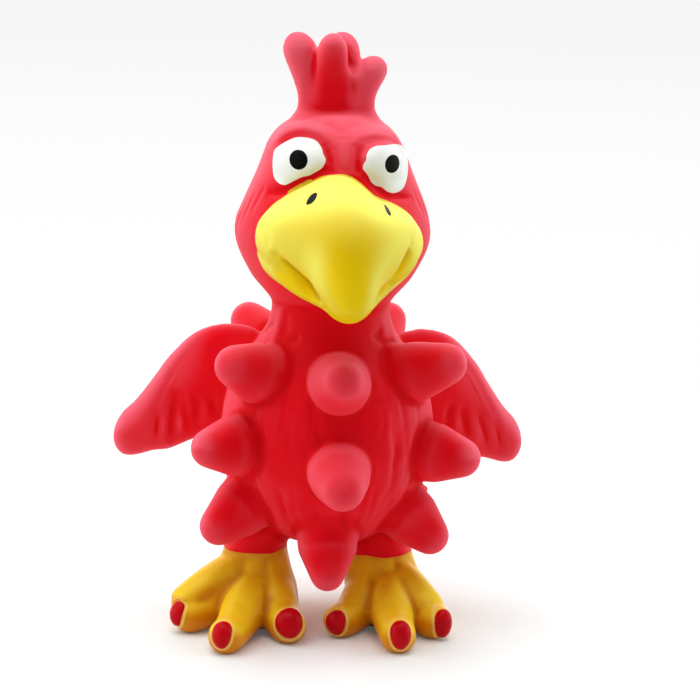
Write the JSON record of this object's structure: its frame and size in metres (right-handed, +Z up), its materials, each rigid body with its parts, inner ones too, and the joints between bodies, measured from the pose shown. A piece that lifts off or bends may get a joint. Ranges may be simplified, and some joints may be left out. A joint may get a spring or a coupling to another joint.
{
  "type": "squeaky dog toy",
  "caption": "Moulded latex squeaky dog toy shaped as a standing rooster with a round spiked body, hooked beak, comb, drooping wings, toed feet and a squeaker in its back.",
  "frame": {"origin": "on the floor, under the middle of the toy's bounding box", "axes": "+Z up, -Y towards the front, where the beak points, +X towards the toy's left"},
  "size_m": [0.114, 0.0922, 0.157],
  "materials": {
    "latex": "satin red latex with a soft bloom",
    "beak_paint": "yellow paint on latex, satin",
    "foot_paint": "deep yellow paint on latex, semi-gloss",
    "nail_paint": "glossy dark red paint",
    "eye_paint": "white paint, satin",
    "pupil_paint": "black paint, satin",
    "squeaker_plastic": "moulded white plastic",
    "reed_plastic": "thin clear film",
    "fibre": "loose polyester fibre"
  },
  "bodies": {
    "body": {"body_skin": "latex", "body_filling": "fibre", "front_upper_spike": "latex", "front_lower_spike": "latex", "front_bottom_spike": "latex", "right_side_upper_spike": "latex", "left_side_upper_spike": "latex", "right_side_middle_spike": "latex", "left_side_middle_spike": "latex", "right_side_lower_spike": "latex", "left_side_lower_spike": "latex", "right_back_upper_spike": "latex", "left_back_upper_spike": "latex", "right_back_middle_spike": "latex", "left_back_middle_spike": "latex", "back_centre_spike": "latex", "right_leg": "latex", "left_leg": "latex", "right_foot": "foot_paint", "left_foot": "foot_paint", "right_outer_toenail": "nail_paint", "right_middle_toenail": "nail_paint", "right_inner_toenail": "nail_paint", "left_outer_toenail": "nail_paint", "left_middle_toenail": "nail_paint", "left_inner_toenail": "nail_paint", "squeaker_housing": "squeaker_plastic", "squeaker_cap": "squeaker_plastic", "squeaker_reed_seat": "squeaker_plastic"},
    "head": {"head_skin": "latex", "head_filling": "fibre", "comb": "latex", "upper_beak": "beak_paint", "lower_beak": "beak_paint", "right_eye": "eye_paint", "left_eye": "eye_paint", "right_pupil": "pupil_paint", "left_pupil": "pupil_paint", "right_nostril": "pupil_paint", "left_nostril": "pupil_paint"},
    "right_wing": {"right_wing": "latex"},
    "left_wing": {"left_wing": "latex"},
    "reed": {"squeaker_reed": "reed_plastic"}
  },
  "joints": [
    {"name": "head_nod", "type": "hinge", "parent": "body", "child": "head", "pos_m": [0, 0.00334, 0.079], "axis": [1, 0, 0], "range_deg": [-12, 10], "stiffness_Nm_per_rad": 0.3},
    {"name": "right_wing_flex", "type": "hinge", "parent": "body", "child": "right_wing", "pos_m": [-0.02883, 0.01215, 0.065], "axis": [-0.3465, 0.0993, -0.9328], "range_deg": [-12, 30], "stiffness_Nm_per_rad": 0.05},
    {"name": "left_wing_flex", "type": "hinge", "parent": "body", "child": "left_wing", "pos_m": [0.02883, 0.01215, 0.065], "axis": [-0.3465, -0.0993, 0.9328], "range_deg": [-12, 30], "stiffness_Nm_per_rad": 0.05},
    {"name": "reed_flutter", "type": "hinge", "parent": "body", "child": "reed", "pos_m": [0, 0.01555, 0.03549], "axis": [1, 0, 0], "range_deg": [-5, 5], "stiffness_Nm_per_rad": 0.001}
  ]
}
